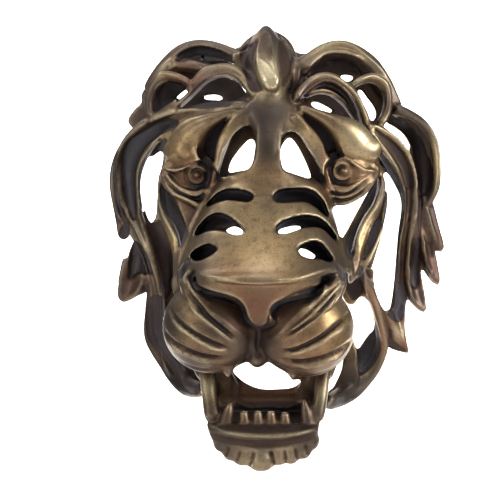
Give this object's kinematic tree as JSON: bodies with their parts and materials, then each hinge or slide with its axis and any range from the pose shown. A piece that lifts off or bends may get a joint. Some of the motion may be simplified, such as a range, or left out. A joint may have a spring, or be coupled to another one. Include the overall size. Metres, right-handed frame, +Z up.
{
  "type": "lion head wall mask",
  "caption": "Openwork roaring lion head wall mask with looping mane locks, slotted brow and nose, grooved muzzle and toothed open jaw, open at the back.",
  "frame": {"origin": "middle of the flat pad behind the crown, on the wall", "axes": "+Z up along the wall, -Y out of the wall where the lion looks, +Y into the wall, +X to the viewer's right"},
  "size_m": [0.2333, 0.121, 0.2836],
  "materials": {
    "bronze": "cast resin with a rubbed antique bronze coat, satin, dark in the recesses"
  },
  "bodies": {
    "root": {"lion_mask": "bronze"}
  },
  "joints": []
}
